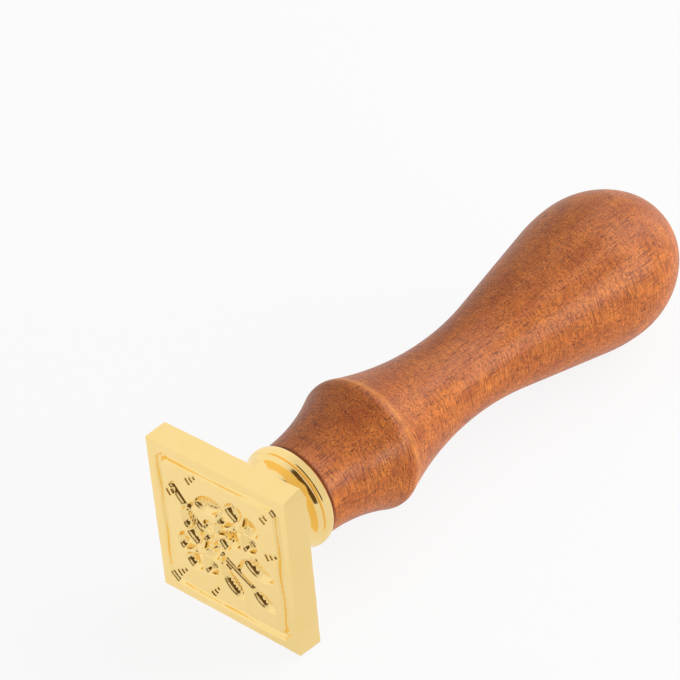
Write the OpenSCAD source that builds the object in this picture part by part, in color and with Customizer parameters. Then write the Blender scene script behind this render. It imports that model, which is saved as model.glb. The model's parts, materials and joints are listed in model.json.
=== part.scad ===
// Wax seal stamp with a turned wooden handle and a screw-on metal seal head.
// The stamp's own axis runs along +X: the engraved face is at x = 0 and looks towards -X.
// lying() then lays the stamp on its side, on the plate's edge and the handle's bulge.
// All lengths are in millimetres.

/* [Seal plate] */
// Side of the square engraved face
face_side = 24.5; // [20:0.5:32]
// Thickness of the plate
plate_thick = 3.5; // [2.5:0.1:5]
// Draft of the four plate sides, which widen away from the face
draft_angle = 7; // [0:0.5:10]
// Width of the broken edges all round the plate
edge_break = 0.3; // [0.1:0.05:0.6]

/* [Neck] */
// Length of the neck, from the plate to the collar
neck_len = 8.1; // [7:0.1:12]
// Least radius of the hollow-curved neck
neck_r = 5; // [4.8:0.1:6]
// Radius of the hollow curves at both ends of the neck
neck_curve_r = 2.9; // [2:0.1:5]
// Radius of the lip that meets the collar
lip_r = 7; // [6.8:0.1:7.8]
// Length of the lip's bevelled edge, along the axis
lip_len = 0.65; // [0.3:0.05:1]
// Slope of the lip's bevelled edge
lip_slope = 35; // [25:1:45]

/* [Engraving] */
// Distance from the edge of the face to the middle of the border groove
border_inset = 2; // [1.5:0.1:3]
// Width of the border groove
border_w = 1; // [0.4:0.1:1.2]
// Length cut off each corner of the border, along a side
border_clip = 0.9; // [0.5:0.1:2]
// Depth of the border groove
border_depth = 0.5; // [0.2:0.1:0.8]
// Depth of the engraved sprig
sprig_depth = 1; // [0.3:0.1:1.2]
// Radius of the largest blossom
blossom_r = 3.9; // [2:0.1:4.2]
// Length of a leaf
leaf_len = 5.8; // [3:0.1:6.2]
// Width of the stem's groove
stem_w = 1; // [0.4:0.1:1.4]
// How far the stem bows below a straight line
stem_bow = 1.1; // [0:0.1:3]

/* [Thread] */
// Outside diameter of the machine thread
thread_d = 7; // [5:0.5:7]
// Pitch of the machine thread
thread_pitch = 1; // [0.75:0.25:1.25]
// Turns of thread that hold the head
thread_turns = 7; // [4:1:8]
// Room between the end of the stud and the bottom of its hole in the head
tip_room = 1; // [0.3:0.1:1.5]
// Diameter of the stud inside the wood
wood_screw_d = 6; // [4:0.5:7]
// Length of the stud inside the wood
wood_screw_len = 18; // [12:1:25]
// Length of the stud's tapered end in the wood
screw_point_len = 3; // [1:0.5:5]
// Radial gap where a piece turns on the stud
running_gap = 0.05; // [0.02:0.01:0.1]
// Gap round the stud where it is glued into the wood
glue_gap = 0.02; // [0.02:0.01:0.1]

/* [Collar] */
// Outside radius of the bead collar
collar_r = 7.4; // [6.8:0.1:9]
// Width of the collar, along the axis
collar_w = 1.9; // [1.2:0.1:4]
// Radius of the collar's two rounded edges
collar_round = 0.8; // [0.2:0.1:0.9]

/* [Handle] */
// Length of the handle
handle_len = 77.5; // [65:0.5:95]
// Radius of the handle where it meets the collar
front_r = 6.9; // [6.2:0.1:7.4]
// Rounding of the front edge of the wood
front_round = 0.4; // [0.1:0.1:1]
// Distance from the front end to the shoulder
shoulder_x = 13; // [9:0.1:16]
// Radius of the shoulder
shoulder_r = 9.65; // [8.5:0.05:12]
// Rounding of the shoulder's crest
shoulder_round = 2.5; // [1:0.1:5]
// Distance from the front end to the waist
waist_x = 31.75; // [27:0.25:38]
// Radius of the waist
waist_r = 6.3; // [5.5:0.05:8]
// Greatest radius of the bulge
bulge_r = 11.2; // [9:0.1:14]
// Curved share of the sweep from waist to bulge; the rest of it is straight
sweep_curved = 0.73; // [0.5:0.01:0.99]
// Share of the curved part that lies at the waist
sweep_waist = 0.63; // [0.3:0.01:0.7]
// Radius of the curve behind the bulge, as a share of the bulge's radius
back_curve = 1.43; // [1.05:0.01:2]
// Radius of the nose at the handle's end, as a share of the bulge's radius
nose_curve = 0.9; // [0.6:0.01:0.95]

/* [Hidden] */

round_fn = 96;
arc_step = 3; // largest turn between two points of an outline, in degrees
over = 1;     // how far a cut runs past the surface that it starts from

wood_color = [0.72, 0.4, 0.2];
gold_color = [0.96, 0.8, 0.45];
steel_color = [0.72, 0.72, 0.74];

// Places along the axis, from the face
collar_front_x = plate_thick + neck_len;
handle_front_x = collar_front_x + collar_w;
handle_end_x = handle_front_x + handle_len;

// The thread's length in the head, and the hole that takes it
thread_len = thread_turns * thread_pitch;
thread_r = thread_d / 2;
hole_r = thread_r + running_gap;
hole_depth = thread_len + tip_room;
wood_screw_r = wood_screw_d / 2;

function reversed(list) = [for (i = [len(list) - 1:-1:0]) list[i]];

// Half the width of the plate at a depth below the face
function half_side(depth) = face_side / 2 + depth * tan(draft_angle);

// Outline of a revolved piece, by the angle of its slope: a hollow arc hangs below its
// centre and a crown arc stands above it. Both run from slope t0 to slope t1.
function steps(t0, t1) = max(1, ceil(abs(t1 - t0) / arc_step));
function slope(t0, t1, i) = t0 + (t1 - t0) * i / steps(t0, t1);
function hollow(c, r, t0, t1) = [
    for (i = [0:steps(t0, t1)]) [c.x + r * sin(slope(t0, t1, i)), c.y - r * cos(slope(t0, t1, i))]
];
function crown(c, r, t0, t1) = [
    for (i = [0:steps(t0, t1)]) [c.x - r * sin(slope(t0, t1, i)), c.y + r * cos(slope(t0, t1, i))]
];

// Radius of a hollow arc that starts level at radius low_r and runs into a crest,
// a circle of radius crest_round whose top is dx further on at radius high_r
function hollow_radius(dx, low_r, high_r, crest_round) =
    (dx * dx + pow(high_r - crest_round - low_r, 2) - crest_round * crest_round)
    / (2 * (high_r - low_r));

// The handle's curves, from front to nose
shoulder_at = handle_front_x + shoulder_x;
waist_at = handle_front_x + waist_x;
crest_c = [shoulder_at, shoulder_r - shoulder_round];

flare_start_x = handle_front_x + front_round;
flare_r = hollow_radius(shoulder_at - flare_start_x, front_r, shoulder_r, shoulder_round);
flare_slope = asin((shoulder_at - flare_start_x) / (flare_r + shoulder_round));

waist_front_r = hollow_radius(waist_at - shoulder_at, waist_r, shoulder_r, shoulder_round);
waist_slope = asin((waist_at - shoulder_at) / (waist_front_r + shoulder_round));

nose_r = nose_curve * bulge_r;
back_r = back_curve * bulge_r;
nose_at = handle_end_x - nose_r;
bulge_at = nose_at - sqrt(pow(back_r - nose_r, 2) - pow(back_r - bulge_r, 2));
nose_slope = asin((nose_at - bulge_at) / (back_r - nose_r));

// The sweep from waist to bulge: a hollow arc, a straight taper and a crown arc
sweep_dx = bulge_at - waist_at;
sweep_dy = bulge_r - waist_r;
sweep_r = sweep_curved * (sweep_dx * sweep_dx + sweep_dy * sweep_dy) / (2 * sweep_dy);
waist_back_r = sweep_waist * sweep_r;
bulge_front_r = sweep_r - waist_back_r;
sweep_rise = sweep_r - sweep_dy;
taper_slope = asin(sweep_r / norm([sweep_dx, sweep_rise])) - atan2(sweep_rise, sweep_dx);

// How the stamp lies: it touches at the plate's lower back edge and behind the bulge
edge_x = plate_thick - edge_break;
edge_z = half_side(edge_x);
lie_run = bulge_at - edge_x;
lie_rise = edge_z + back_r - bulge_r;
lie_tilt = atan2(lie_rise, lie_run) - asin(back_r / norm([lie_run, lie_rise]));
lie_lift = edge_x * sin(lie_tilt) + edge_z * cos(lie_tilt);
lie_low_x = -(face_side / 2 - edge_break) * sin(lie_tilt);
lie_high_x = nose_at * cos(lie_tilt) + nose_r;

// Lays a piece down, with the origin under the middle of the whole stamp
module lying() {
    translate([-(lie_low_x + lie_high_x) / 2, 0, lie_lift]) rotate([0, lie_tilt, 0]) children();
}

// Turns an outline, given as [place along the axis, radius], about the stamp's axis
module turned(outline) {
    rotate([0, 90, 0]) rotate_extrude($fn = round_fn) polygon([for (p = outline) [p.y, p.x]]);
}

// A straight hole along the axis, from x0 to x1
module axial_hole(r, x0, x1) {
    translate([x0, 0, 0]) rotate([0, 90, 0]) cylinder(h = x1 - x0, r = r, $fn = round_fn);
}

// ---- Handle ----
handle_outline = concat(
    [[handle_front_x, 0]],
    crown([flare_start_x, front_r - front_round], front_round, 90, 0),
    hollow([flare_start_x, front_r + flare_r], flare_r, 0, flare_slope),
    crown(crest_c, shoulder_round, flare_slope, -waist_slope),
    hollow([waist_at, waist_r + waist_front_r], waist_front_r, -waist_slope, 0),
    hollow([waist_at, waist_r + waist_back_r], waist_back_r, 0, taper_slope),
    crown([bulge_at, bulge_r - bulge_front_r], bulge_front_r, taper_slope, 0),
    crown([bulge_at, bulge_r - back_r], back_r, 0, -nose_slope),
    crown([nose_at, 0], nose_r, -nose_slope, -90)
);

module handle() {
    color(wood_color) lying() difference() {
        turned(handle_outline);
        axial_hole(wood_screw_r + glue_gap, handle_front_x - over,
                   handle_front_x + wood_screw_len + glue_gap);
    }
}

// ---- Stud: machine thread in front, wood screw behind ----
stud_end_x = handle_front_x + wood_screw_len;
stud_outline = [
    [collar_front_x - thread_len, 0],
    [collar_front_x - thread_len, thread_r - thread_pitch / 2],
    [collar_front_x - thread_len + thread_pitch / 2, thread_r],
    [handle_front_x, thread_r],
    [handle_front_x, wood_screw_r],
    [stud_end_x - screw_point_len, wood_screw_r],
    [stud_end_x, 0]
];

module stud() {
    color(steel_color) lying() turned(stud_outline);
}

// ---- Collar ----
collar_outline = concat(
    [[collar_front_x, hole_r]],
    crown([collar_front_x + collar_round, collar_r - collar_round], collar_round, 90, 0),
    crown([handle_front_x - collar_round, collar_r - collar_round], collar_round, 0, -90),
    [[handle_front_x, hole_r]]
);

module collar() {
    color(gold_color) lying() turned(collar_outline);
}

// ---- Seal head ----
// Side view of the plate: [depth below the face, height]
plate_side = [
    [0, face_side / 2 - edge_break],
    [edge_break, half_side(edge_break)],
    [edge_x, edge_z],
    [plate_thick, edge_z - edge_break]
];
plate_outline = concat(plate_side, reversed([for (p = plate_side) [p.x, -p.y]]));

// The neck: a hollow curve rising from its middle to the plate, and one to the bevelled lip
bevel_r = lip_r - lip_len * tan(lip_slope);
neck_curve_slope = acos(1 - (bevel_r - neck_r) / neck_curve_r);
neck_curve_run = neck_curve_r * sin(neck_curve_slope);
neck_curve_y = neck_r + neck_curve_r;
neck_outline = concat(
    [[edge_x, 0], [edge_x, bevel_r]],
    hollow([plate_thick + neck_curve_run, neck_curve_y], neck_curve_r, -neck_curve_slope, 0),
    hollow([collar_front_x - lip_len - neck_curve_run, neck_curve_y], neck_curve_r,
           0, neck_curve_slope),
    [[collar_front_x, lip_r], [collar_front_x, 0]]
);

// The drafted plate: where two side views at right angles cross
module plate_view() {
    span = 2 * edge_z;
    rotate([90, 0, 0]) translate([0, 0, -span]) linear_extrude(2 * span) polygon(plate_outline);
}

module plate() {
    intersection() {
        plate_view();
        rotate([90, 0, 0]) plate_view();
    }
}

// Sinks a flat drawing into the face: its x runs to the right and its y up, as seen from in front
module engraved(depth) {
    rotate([90, 0, -90]) translate([0, 0, -depth]) linear_extrude(depth + over) children();
}

module clipped_square(side, clip) {
    h = side / 2;
    polygon([
        [h, clip - h], [h, h - clip], [h - clip, h], [clip - h, h],
        [-h, h - clip], [-h, clip - h], [clip - h, -h], [h - clip, -h]
    ]);
}

module border() {
    middle = face_side - 2 * border_inset;
    difference() {
        clipped_square(middle + border_w, border_clip + border_w / 2);
        clipped_square(middle - border_w, border_clip);
    }
}

// A pointed leaf from the origin along +X: where two equal circles cross
module leaf(length, width) {
    r = (length * length + width * width) / (4 * width);
    intersection() {
        translate([length / 2, width / 2 - r]) circle(r = r, $fn = round_fn);
        translate([length / 2, r - width / 2]) circle(r = r, $fn = round_fn);
    }
}

petals = 5;
petal_start = 0.2;  // where a petal starts, as a share of the blossom's radius
petal_width = 0.62; // width of a petal, as a share of the blossom's radius
module blossom(r, turn) {
    for (i = [0:petals - 1]) {
        rotate(turn + i * 360 / petals) translate([petal_start * r, 0])
            leaf((1 - petal_start) * r, petal_width * r);
    }
}

// The stem crosses the field from upper left to the middle; s runs from 0 to 1 along it
field_half = face_side / 2 - border_inset - border_w;
stem_ends = [[-0.93, 0.7], [0.62, -0.54]] * field_half;
stem_run = stem_ends[1] - stem_ends[0];
stem_normal = [-stem_run.y, stem_run.x] / norm(stem_run);
stem_points = 14;
function stem_at(s) = stem_ends[0] + s * stem_run - stem_bow * sin(180 * s) * stem_normal;
function stem_side(side) = [
    for (i = [0:stem_points]) stem_at(i / stem_points) + side * stem_w / 2 * stem_normal
];

// Blossoms as [x, y, turn, size] and leaves as [x, y, direction, size], placed by their
// middles: size is a share of blossom_r or leaf_len, and x and y are shares of the reach
// that keeps a blossom or leaf of that size inside the field
blossoms = [[-0.86, -0.56, -45, 1], [0.58, 0.8, 27, 1], [-0.18, 0.14, -10, 0.69]];
leaves = [
    [-0.28, 0.9, 14, 1],
    [-0.87, 0.16, -66, 0.85],
    [0.95, -0.19, -14, 0.93],
    [0.17, -0.87, -52, 0.97],
    [0.95, -0.86, -28, 0.79]
];
leaf_slim = 0.42; // width of a leaf, as a share of its length

module sprig() {
    polygon(concat(stem_side(1), reversed(stem_side(-1))));
    for (b = blossoms) {
        r = b[3] * blossom_r;
        translate([b.x, b.y] * (field_half - r)) blossom(r, b[2]);
    }
    for (l = leaves) {
        length = l[3] * leaf_len;
        translate([l.x, l.y] * (field_half - length / 2)) rotate(l[2]) translate([-length / 2, 0])
            leaf(length, leaf_slim * length);
    }
}

module seal_head() {
    color(gold_color) lying() difference() {
        union() {
            plate();
            turned(neck_outline);
        }
        axial_hole(hole_r, collar_front_x - hole_depth, collar_front_x + over);
        engraved(border_depth) border();
        engraved(sprig_depth) sprig();
    }
}

handle();
stud();
collar();
seal_head();
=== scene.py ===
# %% [markdown]
# # A wax seal stamp, piece by piece
# The stamp is a turned wooden handle with a threaded stud glued into it, a loose bead collar, and
# a gold-plated head that screws onto the stud. The CAD model fixes where each piece is and how it
# moves. This lesson gives each piece the shape and finish that the eye sees. The CAD model is
# loaded first, so that nothing has to be fitted to it afterwards.

# %% Load the CAD frame
import json
import math

import bpy
import numpy as np
from mathutils import Matrix, Vector


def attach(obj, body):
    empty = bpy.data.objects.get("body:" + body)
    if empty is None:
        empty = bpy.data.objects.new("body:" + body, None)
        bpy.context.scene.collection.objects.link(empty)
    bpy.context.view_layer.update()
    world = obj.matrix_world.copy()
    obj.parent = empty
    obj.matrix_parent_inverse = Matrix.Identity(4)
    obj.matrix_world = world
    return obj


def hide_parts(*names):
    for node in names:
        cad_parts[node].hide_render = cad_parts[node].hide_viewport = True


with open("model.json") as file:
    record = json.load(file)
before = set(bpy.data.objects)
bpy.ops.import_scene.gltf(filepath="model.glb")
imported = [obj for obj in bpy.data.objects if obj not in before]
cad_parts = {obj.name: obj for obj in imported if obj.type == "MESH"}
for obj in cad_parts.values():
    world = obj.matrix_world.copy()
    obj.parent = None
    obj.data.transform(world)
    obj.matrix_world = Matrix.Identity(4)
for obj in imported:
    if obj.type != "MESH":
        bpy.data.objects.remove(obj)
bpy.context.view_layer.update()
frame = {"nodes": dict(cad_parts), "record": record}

print("CAD nodes:", sorted(frame["nodes"]))

# %% [markdown]
# ## The stamp's own axis
# The stamp lies on its side, tipped by about a degree, because the plate and the bulge of the
# handle are not equally high. Modelling it tipped would make every outline awkward. So each piece
# is built along X with the face at zero, the way it stands in the lathe, and then laid down by one
# matrix. That matrix comes from the seal_face mount, which holds the face's middle and direction.

# %% Lay pieces down
MM = 0.001
seal_face = next(m for m in frame["record"]["mounts"] if m["name"] == "seal_face")
face_middle = Vector(seal_face["pos_m"])
along_stamp = -Vector(seal_face["axis"]).normalized()
across_stamp = Vector((0, 1, 0))
out_of_stamp = along_stamp.cross(across_stamp)
lay_down = Matrix((along_stamp, across_stamp, out_of_stamp)).transposed().to_4x4()
lay_down.translation = face_middle
print("the stamp dips by", round(math.degrees(math.asin(-along_stamp.z)), 3), "degrees")

# %% [markdown]
# ## Rings of points
# A turned piece is a row of rings of points. Blender's Screw modifier could spin such a row, but it
# can't make a thread that starts on a chamfer, or a square plate that runs into a round neck. Rings
# made in code can do both. A ring may have a different radius at each point, and shrinks to a single
# point where the piece meets the axis.

# %% Rings and their numbers
def round_ring(x, radius, count):
    """Points of a ring round the axis at x. The radius is one number, or one for each point."""
    angles = np.arange(count) * 2 * math.pi / count
    return np.column_stack([np.full(count, x), radius * np.cos(angles), radius * np.sin(angles)])


def numbered(point_rings):
    """All points of a list of rings in one list, and the point numbers of each ring."""
    starts = np.cumsum([0] + [len(ring) for ring in point_rings])
    return np.concatenate(point_rings), [range(a, b) for a, b in zip(starts, starts[1:])]


print("the numbers of two rings of 4:", numbered([round_ring(x, MM, 4) for x in (0, MM)])[1])

# %% [markdown]
# ## A skin over the rings
# Each ring is joined to the next with faces. Where the next ring has only a share of the points,
# some of the faces are triangles. In this way a whole piece comes out as one closed skin, which
# weighs right, prints right and never shows a gap, where a stack of separate parts would.

# %% Join rings
def band(wide, narrow):
    """Faces between two rings of point numbers. The second may have a whole share of the points."""
    share = len(wide) // len(narrow)
    faces = []
    for i, point in enumerate(wide):
        after = wide[(i + 1) % len(wide)]
        here = narrow[(i + share // 2) // share % len(narrow)]
        onward = narrow[(i + 1 + share // 2) // share % len(narrow)]
        faces.append((point, after, here) if here == onward else (point, after, onward, here))
    return faces


def bands(rings):
    """Faces of a row of rings, each joined to the next."""
    faces = []
    for a, b in zip(rings, rings[1:]):
        faces += band(a, b) if len(a) >= len(b) else [tuple(reversed(f)) for f in band(b, a)]
    return faces


print("a ring of 8 and one of 4 are joined by", len(band(range(8), range(8, 12))), "faces")

# %% [markdown]
# ## From points to a piece
# Every piece takes the same way. Its points and faces become a mesh, which is laid down and shaded
# so that curves look smooth and flats stay flat. Then the piece is hung on the CAD body it rides on,
# and the CAD node that it stands for is hidden. A closed mesh has a signed volume, and the sign says
# for sure whether its faces look outward, where Blender's own tool has to guess.

# %% Make a piece
SHARP_EDGE = math.radians(40)


def turn_faces_out(mesh):
    """Flips every face of a closed mesh if its signed volume says that they look inward."""
    mesh.calc_loop_triangles()
    points = np.array([v.co for v in mesh.vertices])
    corners = points[np.array([t.vertices for t in mesh.loop_triangles])]
    volume = np.einsum("ij,ij->", corners[:, 0], np.cross(corners[:, 1], corners[:, 2])) / 6
    if volume < 0:
        mesh.flip_normals()
    print("  volume", round(abs(volume) / MM**3), "cubic mm")


def make_piece(name, points, faces, body, node):
    """One closed mesh in the stamp's frame, laid down, shaded and tied to its CAD body."""
    mesh = bpy.data.meshes.new(name)
    mesh.from_pydata([tuple(p) for p in points], [], faces)
    mesh.validate()
    mesh.transform(lay_down)
    mesh.update()
    piece = bpy.data.objects.new(name, mesh)
    bpy.context.scene.collection.objects.link(piece)
    turn_faces_out(mesh)
    mesh.shade_smooth()
    mesh.set_sharp_from_angle(angle=SHARP_EDGE)
    even = piece.modifiers.new("flat faces stay flat", "WEIGHTED_NORMAL")
    even.keep_sharp = True
    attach(piece, body)
    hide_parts(node)
    print(name, "has", len(mesh.vertices), "points and", len(mesh.polygons), "faces")
    return piece


print("edges over", round(math.degrees(SHARP_EDGE)), "degrees stay sharp")

# %% [markdown]
# ## Arcs on the lathe
# The handle, the collar and the neck are all turned. A turner's outline is made of hollow arcs,
# which hang below their centre, and crown arcs, which stand above it. A spline through a few points
# would be quicker to write, but it bulges where nobody wants it. Naming an arc by its slope at the
# start and at the end makes neighbours meet without a kink, because they share that slope.

# %% Arcs
ARC_SAG = 0.0005 * MM
LEVEL = 0.0
UPRIGHT = math.pi / 2


def arc(centre, radius, start, end, side):
    """Points of an arc between two slopes, so close that no chord strays by more than ARC_SAG."""
    step = 2 * math.acos(1 - ARC_SAG / radius)
    slopes = np.linspace(start, end, math.ceil(abs(end - start) / step) + 1)
    x, y = centre
    return [(x + side * radius * math.sin(s), y - side * radius * math.cos(s)) for s in slopes]


def hollow(centre, radius, start, end):
    return arc(centre, radius, start, end, 1)


def crown(centre, radius, start, end):
    return arc(centre, radius, start, end, -1)


print("a quarter circle of 1 mm takes", len(crown((0, 0), MM, UPRIGHT, LEVEL)), "points")

# %% [markdown]
# ## Spin an outline
# Arcs are strung together to an outline from the inside of a piece to its outside, and the outline
# is spun about the axis. Points that two arcs share are kept once, because a double ring would
# leave faces without any area, which spoil the shading.

# %% Outline and spin
SAME_POINT = 1e-7


def joined(*stretches):
    """One outline from several stretches, with the shared end points kept once."""
    outline = []
    for point in (p for stretch in stretches for p in stretch):
        if not outline or math.dist(outline[-1], point) > SAME_POINT:
            outline.append(point)
    return outline


def spun(outline, segments):
    """The points of a turned outline, and the point numbers of its rings."""
    return numbered([round_ring(x, r, segments if r > SAME_POINT else 1) for x, r in outline])


print("a spun cone of 6 sides has", len(spun([(0, 0), (MM, MM)], 6)[0]), "points")

# %% [markdown]
# ## Where the pieces lie
# Going back from the face come the plate, the neck, the collar and the handle. Their lengths are
# those of the CAD model, because the pieces have to move and fit exactly as it says.

# %% Places along the stamp
plate_thick = 3.5 * MM
neck_len = 8.1 * MM
collar_w = 1.9 * MM
handle_len = 77.5 * MM
collar_front = plate_thick + neck_len
handle_front = collar_front + collar_w
handle_end = handle_front + handle_len
print("collar from", collar_front, "to", handle_front, "m, handle to", handle_end, "m")

# %% [markdown]
# ## The handle's front
# Behind the collar the handle is a hollow flare with a soft shoulder, and then falls to a waist
# that the fingers close round. The turner would hold a gauge against it. Here the radii in between
# are worked out from the places where each curve has to be level or has to meet the next, so the
# outline stays smooth whatever size is changed.

# %% Flare, shoulder and waist
front_r = 6.9 * MM
front_round = 0.4 * MM
shoulder_at = handle_front + 13 * MM
shoulder_r = 9.65 * MM
shoulder_round = 2.5 * MM
waist_at = handle_front + 31.75 * MM
waist_r = 6.3 * MM


def hollow_radius(run, low_r, high_r):
    """Radius of a hollow arc from a level start at low_r into the rounded shoulder at high_r."""
    rise = high_r - shoulder_round - low_r
    return (run**2 + rise**2 - shoulder_round**2) / (2 * (high_r - low_r))


flare_start = handle_front + front_round
flare_r = hollow_radius(shoulder_at - flare_start, front_r, shoulder_r)
flare_slope = math.asin((shoulder_at - flare_start) / (flare_r + shoulder_round))
waist_front_r = hollow_radius(waist_at - shoulder_at, waist_r, shoulder_r)
waist_slope = math.asin((waist_at - shoulder_at) / (waist_front_r + shoulder_round))
print("the flare climbs to", round(math.degrees(flare_slope), 1), "degrees at the shoulder")

# %% [markdown]
# ## The bulge
# The bulge sits in the palm. One ball would look like a knob stuck on a stick. So only the nose is
# nearly a ball, and a flatter arc leads from the widest place to it. Both are given as shares of the
# bulge's own radius, which is how the eye reads them.

# %% Bulge and nose
bulge_r = 11.2 * MM
nose_share = 0.9
back_share = 1.43
nose_r = nose_share * bulge_r
back_r = back_share * bulge_r
nose_at = handle_end - nose_r
bulge_at = nose_at - math.sqrt((back_r - nose_r) ** 2 - (back_r - bulge_r) ** 2)
nose_slope = math.asin((nose_at - bulge_at) / (back_r - nose_r))
print("the bulge is widest", round((bulge_at - handle_front) / MM, 2), "mm from the handle's front")

# %% [markdown]
# ## The sweep from waist to bulge
# The long side of the grip is a hollow arc, a short straight taper and a crown arc. Two arcs alone
# would look like a skittle. How much of the sweep is curved, and how the curve is shared between
# the waist and the bulge, follows the outline in the photo.

# %% Sweep
sweep_curved = 0.73
sweep_waist = 0.63
sweep_run = bulge_at - waist_at
sweep_high = bulge_r - waist_r
sweep_r = sweep_curved * (sweep_run**2 + sweep_high**2) / (2 * sweep_high)
waist_back_r = sweep_waist * sweep_r
bulge_front_r = sweep_r - waist_back_r
sweep_rise = sweep_r - sweep_high
sweep_far = math.hypot(sweep_run, sweep_rise)
taper_slope = math.asin(sweep_r / sweep_far) - math.atan2(sweep_rise, sweep_run)
print("the taper between the two curves climbs at", round(math.degrees(taper_slope), 1), "degrees")

# %% [markdown]
# ## Turn the handle
# The outline starts at the bottom of the bore that takes the stud, and runs over the front end,
# along the outside and back to the axis at the nose. The bore could be a painted disc, since the
# stud fills it. It is a real hole in the same skin, so that nothing has to be hidden when the head
# is screwed off.

# %% Handle mesh
wood_screw_r = 3 * MM
wood_screw_len = 18 * MM
glue_gap = 0.02 * MM
bore_r = wood_screw_r + glue_gap
bore_end = handle_front + wood_screw_len + glue_gap
HANDLE_SEGMENTS = 192
handle_outline = joined(
    [(bore_end, 0), (bore_end, bore_r), (handle_front, bore_r)],
    crown((flare_start, front_r - front_round), front_round, UPRIGHT, LEVEL),
    hollow((flare_start, front_r + flare_r), flare_r, LEVEL, flare_slope),
    crown((shoulder_at, shoulder_r - shoulder_round), shoulder_round, flare_slope, -waist_slope),
    hollow((waist_at, waist_r + waist_front_r), waist_front_r, -waist_slope, LEVEL),
    hollow((waist_at, waist_r + waist_back_r), waist_back_r, LEVEL, taper_slope),
    crown((bulge_at, bulge_r - bulge_front_r), bulge_front_r, taper_slope, LEVEL),
    crown((bulge_at, bulge_r - back_r), back_r, LEVEL, -nose_slope),
    crown((nose_at, 0), nose_r, -nose_slope, -UPRIGHT),
)
handle_points, handle_rings = spun(handle_outline, HANDLE_SEGMENTS)
wooden_handle = make_piece(
    "wooden_handle", handle_points, bands(handle_rings), "handle_body", "handle")

# %% [markdown]
# ## A thread that really turns
# A screw thread is a ridge that climbs one pitch in each turn. It could be swept along a helix and
# joined to a rod, which leaves a messy seam. Here the rod's own points move in and out instead: how
# far depends only on the place along the axis less the share of a turn. The head's hole uses the
# same rule with a little more radius, so the two stay in mesh all through the unscrewing.

# %% The thread's rule
thread_r = 3.5 * MM
thread_pitch = 1.0 * MM
thread_len = 7 * MM
thread_deep = 0.54 * MM
running_gap = 0.05 * MM
THREAD_SEGMENTS = 66
STEPS_IN_A_PITCH = 12
FLAT_SHARE = 0.12


def thread_radius(x):
    """Radius of the stud's thread at x, for each point of a ring: flat crest, flat root."""
    turn_share = (x / thread_pitch - np.arange(THREAD_SEGMENTS) / THREAD_SEGMENTS) % 1
    flank = np.abs(2 * turn_share - 1)
    return thread_r - thread_deep * np.clip((flank - FLAT_SHARE) / (1 - 2 * FLAT_SHARE), 0, 1)


def threaded(start, end, most, gap):
    """Rings of a threaded stretch. most(x) caps the radius, where a chamfer cuts the thread."""
    places = np.linspace(start, end, round(abs(end - start) / thread_pitch * STEPS_IN_A_PITCH) + 1)
    return [round_ring(x, np.minimum(thread_radius(x) + gap, most(x)), THREAD_SEGMENTS)
            for x in places]


print("one turn climbs", thread_pitch, "m over", STEPS_IN_A_PITCH, "rings")

# %% [markdown]
# ## The stud
# One end of the stud is a machine thread that holds the head, and the other is a wood screw that
# the maker glues into the handle. It is made whole, with a chamfered tip and a tapered point, though
# it shows only when the head is screwed off: then it is what the eye goes to.

# %% Stud mesh
stud_tip = collar_front - thread_len
tip_round = 0.5 * MM
stud_end = handle_front + wood_screw_len
point_len = 3 * MM
wood_thread_deep = 0.5 * MM


def machine_cap(x):
    """The chamfer at the tip: the radius may grow as fast as x does."""
    return thread_r - tip_round + (x - stud_tip)


def wood_cap(x):
    """The wood screw tapers to its point over the last stretch."""
    return wood_screw_r * min(1, (stud_end - x) / point_len)


stud_rings = [round_ring(stud_tip, 0, 1)]
stud_rings += threaded(stud_tip, handle_front - running_gap, machine_cap, 0)
stud_rings += [round_ring(handle_front, wood_screw_r - wood_thread_deep, THREAD_SEGMENTS)]
stud_rings += threaded(
    handle_front + running_gap, stud_end - running_gap, wood_cap, wood_screw_r - thread_r)
stud_rings += [round_ring(stud_end, 0, 1)]
stud_points, stud_numbers = numbered(stud_rings)
threaded_stud = make_piece(
    "threaded_stud", stud_points, bands(stud_numbers), "handle_body", "stud")

# %% [markdown]
# ## The bead collar
# The collar is a loose brass ring with a rounded rim, trapped between the head and the wood. A torus
# would be too round and would not sit flat. It is a closed outline that never reaches the axis, so
# its last ring joins its first.

# %% Collar mesh
collar_r = 7.4 * MM
collar_round = 0.8 * MM
hole_r = thread_r + running_gap
RING_SEGMENTS = 192
collar_outline = joined(
    [(collar_front, hole_r)],
    crown((collar_front + collar_round, collar_r - collar_round), collar_round, UPRIGHT, LEVEL),
    crown((handle_front - collar_round, collar_r - collar_round), collar_round, LEVEL, -UPRIGHT),
    [(handle_front, hole_r)],
)
collar_points, collar_rings = spun(collar_outline, RING_SEGMENTS)
bead_collar = make_piece(
    "bead_collar", collar_points, bands(collar_rings + collar_rings[:1]),
    "collar_body", "collar")

# %% [markdown]
# ## The engraved face
# On the real head the picture is sunk into a square face: a wavy border groove and a flowering
# sprig. Booleans of hundreds of little cuts would leave ragged edges, so the face is a fine grid
# whose points are pushed into the metal. The cells are small where there is engraving and wider in
# the plain margin. The drawing is a plain garden sprig of this lesson's own.

# %% Grid of the face
face_side = 24.5 * MM
edge_break = 0.3 * MM
plain_margin = 1.2 * MM
GRID_CELLS = 264
MARGIN_CELLS = 6
face_half = face_side / 2 - edge_break
fine_half = face_side / 2 - plain_margin
fine_lines = np.linspace(-fine_half, fine_half, GRID_CELLS - 2 * MARGIN_CELLS + 1)
margin_lines = np.linspace(fine_half, face_half, MARGIN_CELLS + 1)[1:]
grid_lines = np.concatenate([-margin_lines[::-1], fine_lines, margin_lines])
# seen from in front, right is the stamp's -Y and up is its Z, both in mm
right, up = np.meshgrid(-grid_lines / MM, grid_lines / MM, indexing="ij")
print("a cell of the face is", round((fine_lines[1] - fine_lines[0]) / MM, 3), "mm wide")

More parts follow.
